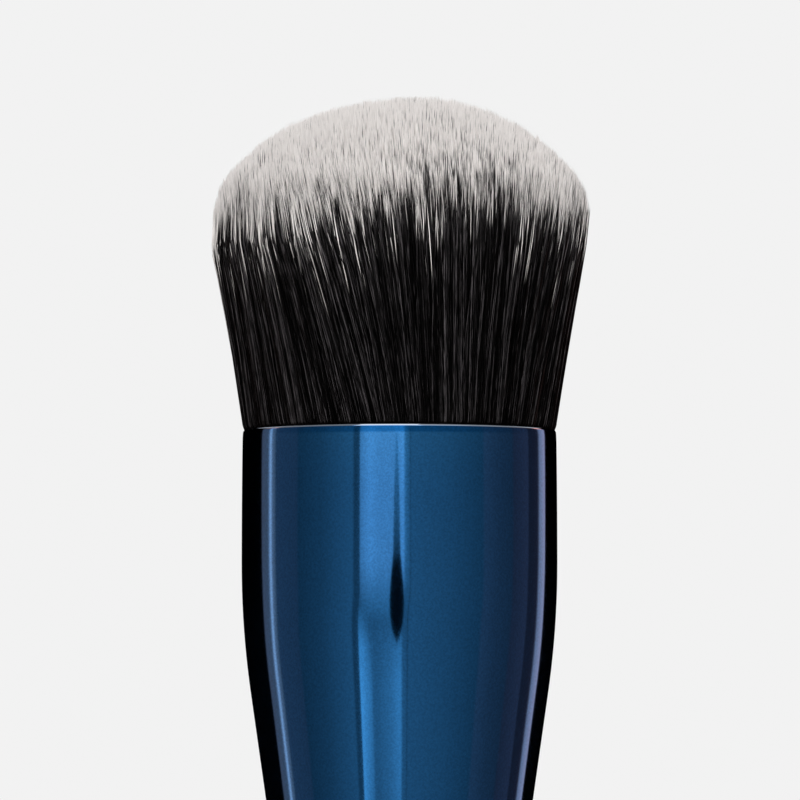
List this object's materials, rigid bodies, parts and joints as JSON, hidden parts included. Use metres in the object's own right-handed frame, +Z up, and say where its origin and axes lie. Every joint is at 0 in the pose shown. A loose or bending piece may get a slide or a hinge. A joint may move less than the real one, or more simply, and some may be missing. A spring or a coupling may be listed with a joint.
{
  "type": "buffing brush",
  "caption": "Makeup buffing brush: a dense domed tuft of dark filaments with pale ends, in a polished blue metal ferrule on a flared handle that stands on its flat end.",
  "frame": {"origin": "middle of the handle's flat end, on the surface that the brush stands on", "axes": "+Z up along the brush, from the flat end to the crown of the tuft; +X and +Y level, and alike because the brush is round about Z"},
  "size_m": [0.0311, 0.0312, 0.1622],
  "materials": {
    "lacquered_wood": "gloss",
    "blue_metal": "polished",
    "wood_glue": "satin",
    "epoxy": "gloss",
    "waxed_thread": "matte",
    "filament": "satin"
  },
  "bodies": {
    "root": {"handle": "lacquered_wood", "ferrule": "blue_metal", "handle_glue": "wood_glue", "root_plug": "epoxy", "binding_thread": "waxed_thread", "bristles": "filament"}
  },
  "joints": []
}
